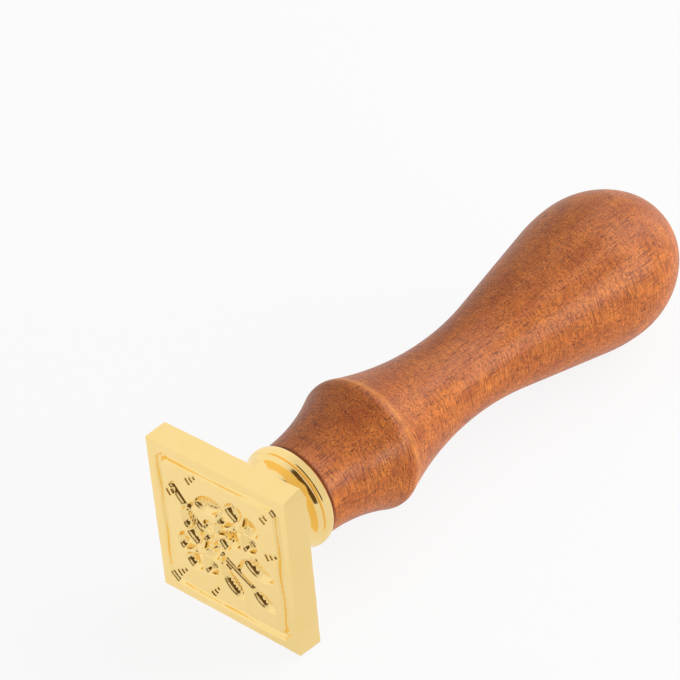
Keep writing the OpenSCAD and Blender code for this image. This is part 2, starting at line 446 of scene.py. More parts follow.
# %% [markdown]
# ## A graver made of distances
# Each cut is drawn as an outline, and a point's distance inside it sets its depth. That gives every
# pocket the same wall, steep at the rim and leaning more below it, as a graver leaves it. Two walls
# of different slope also mirror two different places, which is what makes engraved gold sparkle.

# %% Sink a pocket
steep_slope = math.tan(math.radians(73))
lean_slope = math.tan(math.radians(56))
steep_deep = 0.35
depths = np.zeros(right.shape)


def inside_of(outline):
    """How far each point of the face lies inside a closed outline, in mm; negative outside."""
    nearest = np.full(right.shape, np.inf)
    within = np.zeros(right.shape, bool)
    for (x0, y0), (x1, y1) in zip(outline, np.roll(outline, -1, axis=0)):
        dx, dy = x1 - x0, y1 - y0
        share = np.clip(((right - x0) * dx + (up - y0) * dy) / (dx * dx + dy * dy), 0, 1)
        nearest = np.minimum(nearest, np.hypot(right - x0 - share * dx, up - y0 - share * dy))
        crosses = (y0 > up) != (y1 > up)
        within ^= crosses & (right - x0 < dx * (up - y0) / (dy if dy else 1))
    return np.where(within, nearest, -nearest)


def cut(inside, floor):
    """Sinks a pocket to its floor: its wall is steep at the edge and leans more further down."""
    lean = steep_deep + (inside - steep_deep / steep_slope) * lean_slope
    pocket = np.minimum(np.minimum(inside * steep_slope, lean), floor)
    np.maximum(depths, pocket, out=depths)


print("a pocket's wall is steep down to", steep_deep, "mm")

# %% [markdown]
# ## Put a drawing in its place
# Leaves and petals are each drawn once, lying along a line, and then turned and moved to where they
# belong. A leaf's veins and a petal's ribs are easier to write in that drawing's own directions, so
# there is a helper for each way: from the drawing to the face, and from the face to the drawing.

# %% Place drawings
def local(at, turn):
    """Each point of the face in a drawing's own directions: along it and across it."""
    dx, dy = right - at[0], up - at[1]
    return dx * math.cos(turn) + dy * math.sin(turn), dy * math.cos(turn) - dx * math.sin(turn)


def placed(outline, at, turn):
    """An outline moved to its place on the face."""
    spin = np.array([(math.cos(turn), math.sin(turn)), (-math.sin(turn), math.cos(turn))])
    return np.array(outline) @ spin + np.array(at)


def heading(turn):
    """The direction of a turn, as a step of 1 mm on the face."""
    return np.array([math.cos(turn), math.sin(turn)])


print("a step to the right, turned by a quarter:", placed([(1, 0)], (0, 0), UPRIGHT).round(3))

# %% [markdown]
# ## The border groove
# The groove follows a square with clipped corners. The hand that cut it was not quite steady, so
# slow waves move it a little to and fro. Its floor is round, which is what makes the gold mirror
# itself there and turn deep yellow. It needs no outline: the distance from the square is enough.

# %% Cut the border
border_inset = 2 * MM
border_half = (face_side / 2 - border_inset) / MM
border_w = 1.1
border_deep = 0.7
border_clip = 0.9
border_wave = 0.13
wave_right, wave_up, wave_start = 0.61, 0.5, 0.9
slant_right, slant_up, slant_share = 0.21, 0.83, 0.7
floor_round = 0.6
far_off = np.maximum(np.abs(right), np.abs(up)) - border_half
corner_off = (np.abs(right) + np.abs(up) - 2 * border_half + border_clip) / math.sqrt(2)
slow_wave = np.sin(wave_right * right + wave_start) * np.cos(wave_up * up)
slanting_wave = slant_share * np.sin(slant_up * up + slant_right * right)
wander = border_wave * (slow_wave + slanting_wave)
border_off = np.abs(np.maximum(far_off, corner_off) + wander)
border_floor = border_deep * (1 - floor_round * (2 * border_off / border_w) ** 2)
cut(border_w / 2 - border_off, border_floor)
print("the border groove is", border_w, "mm wide and", border_deep, "mm deep")

# %% [markdown]
# ## The stem
# The stem bows gently from the upper left to the lower right, and the leaves grow from it. It is a
# groove that narrows towards its end. A swept tube could be cut out of the face, but a groove drawn
# as an outline goes through the same graver as all the rest. Its ends are given as shares of the
# field inside the border, so that it would still fit if the face were made larger.

# %% Stem
field_half = border_half - border_w
sprig_deep = 1.1
stem_w = 1.35
stem_bow = -1.1
groove_end = 0.6
STEM_POINTS = 15
stem_start = np.array([-0.93, 0.7]) * field_half
stem_end = np.array([0.62, -0.54]) * field_half


def groove(points, width, deep):
    """A groove along a row of points that narrows towards its end."""
    run = np.gradient(points, axis=0)
    aside = np.stack([-run[:, 1], run[:, 0]], 1) / np.linalg.norm(run, axis=1, keepdims=True)
    half = width / 2 * np.linspace(1, groove_end, len(points))[:, None]
    cut(inside_of(np.concatenate([points + aside * half, (points - aside * half)[::-1]])), deep)


stem_run = stem_end - stem_start
stem_long = np.linalg.norm(stem_run)
stem_normal = np.array([-stem_run[1], stem_run[0]]) / stem_long
stem_share = np.linspace(0, 1, STEM_POINTS)[:, None]
stem_bend = stem_bow * np.sin(math.pi * stem_share) * stem_normal
stem_points = stem_start + stem_share * stem_run + stem_bend
groove(stem_points, stem_w, sprig_deep)
print("the stem is", round(stem_long, 1), "mm from end to end")

# %% [markdown]
# ## A leaf's shape and relief
# A leaf is the lens between two arcs, sunk to a floor with a raised midrib and slanting veins. Ribs
# and veins are shallow waves in the floor. They fade out towards the walls, because waves that ran
# up a wall would break its dark mirror image into saw teeth.

# %% Leaf tools
wall_run = 0.25
vein_gap = 0.55
vein_deep = 0.2
vein_slant = 0.8
midrib_high = 0.4
midrib_w = 0.17
ARC_POINTS = 16


def fade_in(inside):
    """0 on a pocket's wall, 1 on its floor, so that fine relief leaves the walls smooth."""
    return np.clip((inside - wall_run) / wall_run, 0, 1)


def lens(length, width):
    """A leaf's outline from the origin along +X: two equal arcs."""
    radius = (length**2 + width**2) / (4 * width)
    half = math.asin(length / 2 / radius)
    sweep = np.linspace(-half, half, ARC_POINTS)
    rise = radius * (np.cos(sweep) - math.cos(half))
    top = np.stack([length / 2 + radius * np.sin(sweep), rise], 1)
    return np.concatenate([top, (top * (1, -1))[-2:0:-1]])


def leaf_floor(forth, sideways, inside):
    """Depth of a leaf's floor: less on the midrib and on each vein."""
    veins = vein_deep * (1 - np.cos(2 * math.pi * (forth - vein_slant * np.abs(sideways)) / vein_gap))
    midrib = midrib_high * np.exp(-((sideways / midrib_w) ** 2))
    return sprig_deep - midrib - fade_in(inside) * veins


print("a vein every", vein_gap, "mm, at most", 2 * vein_deep, "mm high")

# %% [markdown]
# ## Leaves along the stem
# Each leaf is placed by its middle, as a share of the reach that keeps it inside the border, so
# none can run over the groove. A short stalk ties its foot to the nearest place on the stem.

# %% Cut the leaves
leaf_len = 5.8
leaf_slim = 0.5
stalk_w = 0.7
stalk_deep = 0.6 * sprig_deep
# place across and up, direction in degrees, size
leaves = [(-0.28, 0.9, 14, 1), (-0.87, 0.16, -66, 0.85), (0.95, -0.19, -14, 0.93),
          (0.17, -0.87, -52, 0.97), (0.95, -0.86, -28, 0.79)]
for across, high, degrees, size in leaves:
    length = size * leaf_len
    turn = math.radians(degrees)
    foot = np.array([across, high]) * (field_half - length / 2) - length / 2 * heading(turn)
    nearest_stem = stem_points[np.argmin(np.linalg.norm(stem_points - foot, axis=1))]
    groove(np.linspace(nearest_stem, foot, 3), stalk_w, stalk_deep)
    inside = inside_of(placed(lens(length, leaf_slim * length), foot, turn))
    cut(inside, leaf_floor(*local(foot, turn), inside))
print(len(leaves), "leaves")

# %% [markdown]
# ## A petal's shape and relief
# A petal is round at its tip and narrow at its foot, with fine ribs that fan out from the middle of
# the flower and a floor that rises towards it. A fan of ribs could be drawn line by line, but one
# wave over the angle round the middle draws them all.

# %% Petal tools
PETALS = 5
petal_start = 0.18
petal_width = 0.8
petal_widest = 1.5
petal_blunt = 0.7
petal_foot_high = 0.3
rib_count = 7
rib_deep = 0.2
rib_grow = 1.6
PETAL_POINTS = 14


def petal(length, width):
    """A round petal from the origin along +X, narrow at its foot."""
    share = np.linspace(0, 1, PETAL_POINTS)
    half = width / 2 * np.sin(math.pi * share**petal_widest) ** petal_blunt
    top = np.stack([share * length, half], 1)
    return np.concatenate([top, (top * (1, -1))[-2:0:-1]])


def petal_floor(forth, sideways, radius, inside):
    """Depth of a petal's floor: less near the flower's middle and on each rib."""
    fan = np.arctan2(sideways, forth) / math.radians(360 / PETALS)
    ribs = rib_deep * (1 - np.cos(2 * math.pi * rib_count * fan))
    ribs = ribs * np.clip(rib_grow * forth / radius, 0, 1)
    cup = petal_foot_high * np.clip(1 - forth / radius, 0, 1)
    return sprig_deep - cup - fade_in(inside) * ribs


print(rib_count, "ribs in a petal")

# %% [markdown]
# ## Blossoms
# Three five-petalled blossoms fill the field. The ground is filled up again under each one first,
# as a flower hides the stem or leaf that runs behind it. The middle is a small dome, left standing
# by a cut that is deepest near its rim.

# %% Cut the blossoms
blossom_r = 3.9
blossom_clear = 0.9
dome_r = 0.24
dome_deep = 0.5
# place across and up, size, direction in degrees
blossoms = [(-0.86, -0.56, 1, -45), (0.58, 0.8, 1, 27), (-0.18, 0.14, 0.69, -10)]
for across, high, size, degrees in blossoms:
    radius = size * blossom_r
    middle = np.array([across, high]) * (field_half - radius)
    away = np.hypot(right - middle[0], up - middle[1])
    depths[away < blossom_clear * radius] = 0
    for i in range(PETALS):
        turn = math.radians(degrees + i * 360 / PETALS)
        foot = middle + petal_start * radius * heading(turn)
        outline = placed(petal((1 - petal_start) * radius, petal_width * radius), foot, turn)
        inside = inside_of(outline)
        cut(inside, petal_floor(*local(middle, turn), radius, inside))
    cut(dome_r * radius - away, dome_deep * (away / (dome_r * radius)) ** 2)
print(len(blossoms), "blossoms")

# %% [markdown]
# ## Ticks
# Between the flowers the engraver filled the field with little groups of ticks, each a short wedge
# cut a little shorter than the one before. They are small, but without them the field looks empty.

# %% Cut the ticks
tick_len = 1.3
tick_w = 0.55
tick_gap = 0.85
tick_deep = 0.5
tick_shrink = 0.22
tick_taper = 0.7
# place across and up, direction in degrees, how many
tick_groups = [(-0.5, 0.93, -50, 3), (0.88, 0.88, -40, 2), (0.95, 0.25, -65, 3), (-0.95, 0.52, -60, 2),
               (-0.9, -0.9, -50, 3), (0.1, -0.3, -30, 2), (-0.25, -0.95, -35, 3), (0.62, 0.02, -60, 2)]
for across, high, degrees, count in tick_groups:
    turn = math.radians(degrees)
    for i in range(count):
        step = (i - (count - 1) / 2) * tick_gap
        at = np.array([across, high]) * field_half + step * heading(turn + UPRIGHT)
        x, y = tick_len * (1 - tick_shrink * i) / 2, tick_w / 2
        wedge = [(-x, -y), (x, -y * tick_taper), (x, y * tick_taper), (-x, y)]
        cut(inside_of(placed(wedge, at, turn)), tick_deep)
print(len(tick_groups), "groups of ticks; deepest cut", round(float(depths.max()), 2), "mm")

# %% [markdown]
# ## Pinholes
# The casting left a few pinholes that the plating did not fill. They are scattered by a random
# generator with a fixed seed, so that the same holes come out on every run.

# %% Scatter pinholes
luck = np.random.default_rng(7)
PINHOLES = 26
pin_deep = 0.05
pin_least, pin_most = 0.07, 0.14
pin_share = 0.96
pin_reach = face_half / MM * pin_share
pin_places = luck.uniform(-pin_reach, pin_reach, (PINHOLES, 2))
pin_sizes = luck.uniform(pin_least, pin_most, PINHOLES)
for (x, y), size in zip(pin_places, pin_sizes):
    depths += pin_deep * np.exp(-((np.hypot(right - x, up - y) / size) ** 2))
print(PINHOLES, "pinholes, the largest", round(float(2 * pin_sizes.max()), 2), "mm across")

# %% [markdown]
# ## Soften the cuts
# Casting, polishing and plating round off every edge. Averaging each point with its neighbours does
# the same to the grid, and it also keeps the slanting edges of the cuts from looking like stairs. A
# Smooth modifier would do this too, but it would pull in the edges of the plate as well.

# %% Polish the edges
def polished(heights):
    """Each point averaged with its neighbours along one direction, the outermost points kept."""
    inner = (heights[:-2] + 2 * heights[1:-1] + heights[2:]) / 4
    return np.concatenate([heights[:1], inner, heights[-1:]])


depths = polished(polished(depths).T).T
print("deepest cut after polishing", round(float(depths.max()), 2), "mm")

# %% [markdown]
# ## The rim of the grid
# The head is cast in one piece: a square plate whose sides widen a little away from the face, and
# a hollow-curved neck with a rounded lip. To make it one skin too, the grid's edge becomes the first
# of its rings. This cell lists the points round that edge in the order that a ring needs.

# %% Points round the grid's edge
CELLS_HALF = GRID_CELLS // 2


def rim_numbers():
    """Point numbers round the grid's edge, from the middle of the +Y side, as an angle grows."""
    n = GRID_CELLS
    places = [(n, j) for j in range(CELLS_HALF, n)] + [(i, n) for i in range(n, 0, -1)]
    places += [(0, j) for j in range(n, 0, -1)] + [(i, 0) for i in range(n)]
    places += [(n, j) for j in range(CELLS_HALF)]
    return [i * (n + 1) + j for i, j in places]


front_points = np.stack([depths * MM, -right * MM, up * MM], 2).reshape(-1, 3)
front_rim = rim_numbers()
unit_square = front_points[front_rim][:, 1:] / face_half
print("the rim has", len(front_rim), "points")

# %% [markdown]
# ## Square rings with filed corners
# The plate's corners are filed off, a little at the face and more at the back, and its sides are
# not quite straight, as on any hand-finished casting. A Bevel modifier gives every corner the same
# round. Here each ring pulls its own corners in, and a faint waver moves its sides inward only, so
# that the plate never grows past its size in the CAD model.

# %% A square ring
side_draft = math.radians(7)
draft = math.tan(side_draft)
FACET = 1.25
edge_waver = 0.03 * MM
long_wave, short_wave = 0.7, 1.9
wave_drift = 0.4


def half_side(depth):
    return face_side / 2 + depth * draft


def square_ring(x, half, corner):
    """A square ring with filed corners and a point for each point of the grid's edge."""
    flat = unit_square * half
    core = np.clip(flat, corner - half, half - corner)
    out = flat - core
    reach = np.maximum((np.abs(out) ** FACET).sum(axis=1, keepdims=True) ** (1 / FACET), SAME_POINT)
    in_corner = np.abs(out).min(axis=1, keepdims=True) > 0
    flat = core + out / reach * np.where(in_corner, corner, reach)
    crosswise = flat[:, ::-1] / MM
    waver = np.sin(long_wave * crosswise + wave_drift * x / MM) + np.sin(short_wave * crosswise + 1)
    flat = flat * (1 - edge_waver * (1 + waver / 2) / half)
    return np.column_stack([np.full(len(flat), x), flat])


print("the sides widen by", round(draft, 3), "mm for each mm away from the face")

# %% [markdown]
# ## From the face to the back of the plate
# A row of square rings goes round the broken edge of the face, down the slanting side and round the
# back edge. Each corner is a real little round of a few steps, because a knife-sharp edge catches
# no light, and that thin bright line is what the eye reads as metal.

# %% Rings of the plate
edge_place = plate_thick - edge_break
corner_front = 0.35 * MM
corner_back = 1.0 * MM
EDGE_STEPS = 3
SIDE_STEPS = 4
edge_shares = np.arange(1, EDGE_STEPS + 1) / EDGE_STEPS
head_rings = []
for share in edge_shares:
    lean = UPRIGHT * share
    half = half_side(edge_break) - edge_break * (1 - math.sin(lean))
    head_rings.append(square_ring(edge_break * (1 - math.cos(lean)), half, corner_front * share))
for share in np.arange(1, SIDE_STEPS + 1) / SIDE_STEPS:
    x = edge_break + share * (edge_place - edge_break)
    corner = corner_front + share * (corner_back - corner_front)
    head_rings.append(square_ring(x, half_side(x), corner))
for share in edge_shares:
    lean = UPRIGHT * share
    half = half_side(edge_place) - edge_break * (1 - math.cos(lean))
    head_rings.append(square_ring(edge_place + edge_break * math.sin(lean), half, corner_back))
print("the plate's back is", round(2 * half_side(edge_place) / MM, 2), "mm wide")

# %% [markdown]
# ## Neck and lip
# The neck is hollow-curved like a spool and ends in a lip with a gently rounded flank. That flank
# carries the long dark stroke in the gold, so its two slopes matter: a straight bevel would mirror
# a single spot and turn all dark or all light. The lip's arc is worked out from its two slopes, and
# the neck's two arcs meet it where they are as wide as its foot.

# %% Back of the plate, neck and lip
neck_r = 5.0 * MM
neck_curve_r = 2.9 * MM
lip_r = 7 * MM
lip_len = 0.65 * MM
lip_slope_front = math.radians(41)
lip_slope_back = math.radians(27)
lip_edge = 0.08 * MM
foot_collar = 0.5 * MM
NECK_SEGMENTS = 2 * THREAD_SEGMENTS

lip_back = collar_front - lip_edge
lip_round = lip_len / (math.sin(lip_slope_front) - math.sin(lip_slope_back))
lip_centre = (lip_back + lip_round * math.sin(lip_slope_back),
              lip_r - lip_round * math.cos(lip_slope_back))
lip_foot_r = lip_centre[1] + lip_round * math.cos(lip_slope_front)
curve_slope = math.acos(1 - (lip_foot_r - neck_r) / neck_curve_r)
curve_run = neck_curve_r * math.sin(curve_slope)
curve_high = neck_r + neck_curve_r
neck_outline = joined(
    hollow((plate_thick + curve_run, curve_high), neck_curve_r, -curve_slope, LEVEL),
    hollow((lip_back - lip_len - curve_run, curve_high), neck_curve_r, LEVEL, curve_slope),
    crown(lip_centre, lip_round, lip_slope_front, lip_slope_back),
    crown((lip_back, lip_r - lip_edge), lip_edge, LEVEL, -UPRIGHT),
)
head_rings.append(round_ring(plate_thick, lip_foot_r + foot_collar, len(front_rim)))
head_rings += [round_ring(x, radius, NECK_SEGMENTS) for x, radius in neck_outline]
print("neck:", neck_r / MM, "mm in radius, its lip", lip_r / MM, "mm")

# %% [markdown]
# ## The threaded hole
# The head is tapped with a blind hole. Its rings go back in from the lip to the hole's end, so the
# skin turns inside out there and closes on the axis. The thread's rule makes it, with the running
# gap added to its radius, and a plain mouth lets the stud start easily.

# %% Threaded hole in the neck
tip_room = 1 * MM
hole_end = collar_front - thread_len - tip_room
mouth = 0.35 * MM


def no_cap(x):
    """Nothing caps the radius of the thread in the hole."""
    return math.inf


head_rings.append(round_ring(collar_front, hole_r + mouth, THREAD_SEGMENTS))
head_rings += threaded(collar_front - mouth, hole_end + thread_pitch / 2, no_cap, running_gap)
head_rings.append(round_ring(hole_end + thread_pitch / 4, hole_r, THREAD_SEGMENTS))
head_rings.append(round_ring(hole_end, hole_r, THREAD_SEGMENTS))
head_rings.append(round_ring(hole_end, 0, 1))
print("the hole is", round((collar_front - hole_end) / MM, 1), "mm deep")

# %% [markdown]
# ## Join up the head
# The grid of the face and all the rings behind it become one mesh. The grid's own points come first,
# so the rings' numbers move up by as many. One skin means that the light runs over the edge of the
# plate without a seam.

# %% Head mesh
side_points = GRID_CELLS + 1
grid = np.arange(side_points**2).reshape(side_points, side_points)
front_faces = np.stack([grid[:-1, :-1], grid[:-1, 1:], grid[1:, 1:], grid[1:, :-1]], 2)
ring_points, ring_numbers = numbered(head_rings)
moved_up = [range(r.start + len(front_points), r.stop + len(front_points)) for r in ring_numbers]
head_faces = front_faces.reshape(-1, 4).tolist() + bands([front_rim] + moved_up)
seal_head = make_piece(
    "engraved_head", np.concatenate([front_points, ring_points]), head_faces,
    "head_body", "seal_head")

# %% [markdown]
# ## A sheet of nodes
# A finish in Blender is a sheet of nodes, and a node has to be added and wired for each step. These
# helpers do both in one call: what is handed in is wired if it comes from another node, and set as
# a value if it doesn't. That keeps the finishes below short enough to read as recipes.

# %% Node sheet
class Sheet:
    """The nodes of a material or a world, with a short way to add and wire them."""

    def __init__(self, owner):
        owner.use_nodes = True
        self.tree = owner.node_tree
        self.tree.nodes.clear()

    def add(self, kind, inputs=None, **settings):
        node = self.tree.nodes.new("ShaderNode" + kind)
        for name, value in settings.items():
            setattr(node, name, value)
        for socket, value in (inputs or {}).items():
            if isinstance(value, bpy.types.NodeSocket):
                self.tree.links.new(value, node.inputs[socket])
            else:
                node.inputs[socket].default_value = value
        return node

    def math(self, operation, *values):
        return self.add("Math", dict(enumerate(values)), operation=operation).outputs[0]

    def vector(self, operation, *values):
        return self.add("VectorMath", dict(enumerate(values)), operation=operation).outputs[0]

    def measure(self, operation, *values):
        """A single number from vectors, such as a length."""
        node = self.add("VectorMath", dict(enumerate(values)), operation=operation)
        return node.outputs["Value"]

    def part(self, vector, axis):
        return self.add("SeparateXYZ", {0: vector}).outputs[axis]


print("the node sheet can", [name for name in vars(Sheet) if not name.startswith("_")])

# %% [markdown]
# ## Steps that every finish uses
# Every texture here reads the piece's own coordinates, turned back into the stamp's frame and into
# mm. So a pattern keeps its real size, goes right through the solid like real grain, and travels
# with the piece when the head is unscrewed. An image wrapped round the piece would stretch.

# %% Finish
class Finish(Sheet):
    """A sheet of nodes with the steps that finishes are made of."""

    def stamp_mm(self):
        """Each point's place in the stamp's own frame, in mm."""
        place = self.add("TexCoord").outputs["Object"]
        inputs = {"Vector": place, "Location": face_middle, "Rotation": lay_down.to_euler(),
                  "Scale": (MM, MM, MM)}
        return self.add("Mapping", inputs, vector_type="TEXTURE").outputs[0]

    def noise(self, place, detail, scale=1.0):
        return self.add("TexNoise", {"Vector": place, "Scale": scale, "Detail": detail}).outputs[0]

    def ease(self, value, low, high, to_low=0.0, to_high=1.0):
        """A soft step: to_low under low, to_high over high."""
        inputs = {"Value": value, "From Min": low, "From Max": high,
                  "To Min": to_low, "To Max": to_high}
        return self.add("MapRange", inputs, interpolation_type="SMOOTHSTEP").outputs[0]

    def colours(self, factor, first, second):
        """The first colour where the factor is 0, the second where it is 1."""
        return self.add("Mix", {0: factor, 6: first, 7: second}, data_type="RGBA").outputs[2]

    def bump(self, height, distance, under=None):
        """A relief of this height, laid over another one if there is one under it."""
        inputs = {"Height": height, "Distance": distance}
        if under is not None:
            inputs["Normal"] = under
        return self.add("Bump", inputs).outputs[0]


def dress(piece, material):
    piece.data.materials.append(material)
    print(piece.name, "is finished in", material.name)


print("a finish can also", [name for name in vars(Finish) if not name.startswith("_")])

# %% [markdown]
# ## Gold plate
# The head and the collar are brass with a thin bright gold plating. It is a true metal, so nearly
# all that is seen is a yellow mirror image of the room. What makes it look plated and not like a
# computer's mirror is small: the polish is uneven, the surface has a faint orange peel, and fine
# wiping marks blur it a little more in some places than in others.

# %% Gold finish
gold_colour = (0.99, 0.735, 0.315, 1)
gold_deep = (0.965, 0.705, 0.245, 1)
deep_share = 0.35
wiping_stretch = (1.0, 0.25, 9.0)
haze_least, haze_most = 0.05, 0.1
wiping_haze = 0.05
peel_high = 0.012 * MM
grit_high = 0.002 * MM


def gold_finish():
    material = bpy.data.materials.new("gold plate")
    sheet = Finish(material)
    in_mm = sheet.stamp_mm()
    cloud = sheet.noise(in_mm, detail=4.0, scale=0.3)
    peel = sheet.noise(in_mm, detail=2.0, scale=0.9)
    grit = sheet.noise(in_mm, detail=1.0, scale=7.0)
    wiping = sheet.noise(sheet.vector("MULTIPLY", in_mm, wiping_stretch), detail=2.0)
    tint = sheet.colours(sheet.ease(cloud, 0.35, 0.7, 0.0, deep_share), gold_colour, gold_deep)
    uneven = sheet.ease(cloud, 0.3, 0.7, haze_least, haze_most)
    haze = sheet.math("ADD", uneven, sheet.ease(wiping, 0.5, 0.75, 0.0, wiping_haze))
    relief = sheet.bump(grit, grit_high, under=sheet.bump(peel, peel_high))
    skin = sheet.add("BsdfPrincipled", {
        "Base Color": tint, "Metallic": 1.0, "Roughness": haze, "Normal": relief})
    sheet.add("OutputMaterial", {"Surface": skin.outputs[0]})
    return material


gold_plate = gold_finish()
for gold_piece in (seal_head, bead_collar):
    dress(gold_piece, gold_plate)

# %% [markdown]
# ## Zinc-plated steel
# The stud is a bought part with a thin bluish zinc plating, a little rough from rolling. Rolling
# marks run round the rod, so the noise is squeezed along the axis: a plain noise would look like
# cast iron. Duller patches are where the plating is thin.

# %% Steel finish
steel_colour = (0.6, 0.61, 0.63, 1)
steel_dull = (0.42, 0.42, 0.43, 1)
rolled_stretch = (8.0, 0.8, 0.8)
steel_smooth, steel_rough = 0.2, 0.38
rolled_high = 0.01 * MM


def steel_finish():
    material = bpy.data.materials.new("zinc plated steel")
    sheet = Finish(material)
    in_mm = sheet.stamp_mm()
    rolled = sheet.noise(sheet.vector("MULTIPLY", in_mm, rolled_stretch), detail=3.0)
    cloud = sheet.noise(in_mm, detail=3.0, scale=0.8)
    skin = sheet.add("BsdfPrincipled", {
        "Base Color": sheet.colours(sheet.ease(cloud, 0.4, 0.7), steel_colour, steel_dull),
        "Metallic": 1.0,
        "Roughness": sheet.ease(rolled, 0.3, 0.7, steel_smooth, steel_rough),
        "Normal": sheet.bump(rolled, rolled_high)})
    sheet.add("OutputMaterial", {"Surface": skin.outputs[0]})
    return material


dress(threaded_stud, steel_finish())

# %% [markdown]
# ## The log in the handle
# The handle is a reddish hardwood with a fine, short-grained look. Turned wood shows the log's
# rings as broad bands from brown to orange, which bend where the handle is thick or thin. Bands
# painted round the handle would not do that. So the rings here are a solid pattern round a pith
# far below the handle, and the handle cuts through them.

# %% Growth rings
log_turn = math.radians(17)
across_log = (0, 1, 1)
pith_place = (0, 6, 45)
ring_gap = 4.5
ring_drift = 9.0
drift_size = (30, 7, 7)


def log_directions(sheet, in_mm):
    """The same places seen along the log: along its grain, across it, and away from the pith."""
    turned = {"Vector": in_mm, "Angle": log_turn}
    return sheet.add("VectorRotate", turned, rotation_type="X_AXIS").outputs[0]


def growth_rings(sheet, in_log):
    """0 in dark and 1 in pale rings, round a pith that lies far below the handle."""
    from_pith = sheet.vector("ADD", sheet.vector("MULTIPLY", in_log, across_log), pith_place)
    drift = sheet.noise(sheet.vector("DIVIDE", in_log, drift_size), detail=2.0)
    far = sheet.math("ADD", sheet.measure("LENGTH", from_pith), sheet.math("MULTIPLY", drift, ring_drift))
    inputs = {"W": sheet.math("DIVIDE", far, ring_gap), "Scale": 1.0, "Detail": 2.0}
    ring = sheet.add("TexNoise", inputs, noise_dimensions="1D").outputs[0]
    return sheet.ease(ring, 0.35, 0.65)


print("a growth ring every", ring_gap, "mm, the log turned by", round(math.degrees(log_turn)), "degrees")

# %% [markdown]
# ## Rays and vessels
# Rays run outward from the middle of the tree, so on the side of the handle they show as many short
# flecks across the grain. Vessels run along the tree, are cut along their length on the top side,
# and show there as dashes. Each kind is a noise whose spots are stretched in the log's own
# directions, so that it turns from dots into dashes where it would on real turned wood.

# %% Flecks and dashes
# size of a spot in the log's directions in mm, and the noise where it begins and where it is full
wood_spots = {
    "pale rays": ((0.2, 0.26, 1.0), 0.55, 0.72),
    "fine rays": ((0.12, 0.13, 1.2), 0.42, 0.62),
    "rays": ((0.17, 0.25, 2.2), 0.54, 0.64),
    "vessels": ((3.6, 0.16, 0.16), 0.585, 0.66),
}


def spots(sheet, in_log, kind):
    """Scattered long spots in the wood: 1 in a spot, 0 between."""
    size, begin, full = wood_spots[kind]
    return sheet.ease(sheet.noise(sheet.vector("DIVIDE", in_log, size), detail=1.0), begin, full)


print("spots in the wood:", sorted(wood_spots))

# %% [markdown]
# ## What the lathe left, and painted light
# Sandpaper held against the turning handle adds faint lines round it. The pale band on the ridge
# behind the shoulder is a painted highlight, where that ridge would catch the light, and the dark band
# in the corner at the collar is painted shade. All three depend on the place along the handle and not
# on the log, so they read the stamp's own directions.

# %% Turning marks, painted highlight and painted shade
mark_width = 0.16
marks_round = 3.5
ridge_highlight_back = 0.9
ridge_highlight_at = shoulder_at / MM + ridge_highlight_back
ridge_highlight_half = 0.9
ridge_highlight_least, ridge_highlight_most = 0.1, 0.55
collar_shade_reach = 0.7
collar_shade_full = 0.3
collar_shade_strength = 0.6


def turning_marks(sheet, in_mm):
    """Fine lines round the handle, broken up a little on their way round."""
    outward = sheet.vector("NORMALIZE", sheet.vector("MULTIPLY", in_mm, across_log))
    along = sheet.vector("MULTIPLY", in_mm, (1 / mark_width, 0, 0))
    place = sheet.vector("ADD", along, sheet.vector("MULTIPLY", outward, (marks_round,) * 3))
    return sheet.ease(sheet.noise(place, detail=1.0), 0.5, 0.66)


def painted_ridge_highlight(sheet, along, mottle):
    """How strongly a painted highlight lightens the ridge, in patches."""
    off_ridge = sheet.math("ABSOLUTE", sheet.math("SUBTRACT", along, ridge_highlight_at))
    patchy = sheet.ease(mottle, 0.3, 0.65, ridge_highlight_least, ridge_highlight_most)
    return sheet.math("MULTIPLY", sheet.ease(off_ridge, ridge_highlight_half, 0.0), patchy)


def painted_collar_shade(sheet, along):
    """How dark the painted shade is in the corner at the collar."""
    edge = handle_front / MM
    return sheet.ease(along, edge + collar_shade_reach, edge + collar_shade_full * collar_shade_reach, 0.0, collar_shade_strength)


# The pale band on the ridge is a painted highlight.
print("the ridge is worn", round(ridge_highlight_at, 1), "mm behind the face")

# %% [markdown]
# ## The colour of the wood
# The colour is stacked in layers on bands and mottle: first what is faint or broad, then the larger
# rays and the vessels, which stay dark where a turning mark crosses them, and at last a painted
# highlight on the ridge and painted shade in the corner at the collar. One big formula could do it all,
# but layers can be read, and each one's strength can be changed by itself.

# %% Wood colour
wood_light = (0.82, 0.245, 0.045, 1)
wood_dark = (0.54, 0.13, 0.024, 1)
pore_and_shade_colour = (0.15, 0.03, 0.01, 1)
wood_pale_and_highlight = (0.9, 0.34, 0.07, 1)
mottle_size = (4.0, 2.2, 2.8)
ring_share, mottle_share = 0.4, 0.6
# strength and colour of each layer, the lowest first
wood_layers = {
    "pale rays": (0.5, wood_pale_and_highlight), "fine rays": (0.3, pore_and_shade_colour), "turning marks": (0.36, pore_and_shade_colour),
    "rays": (0.52, pore_and_shade_colour), "vessels": (0.68, pore_and_shade_colour),
}


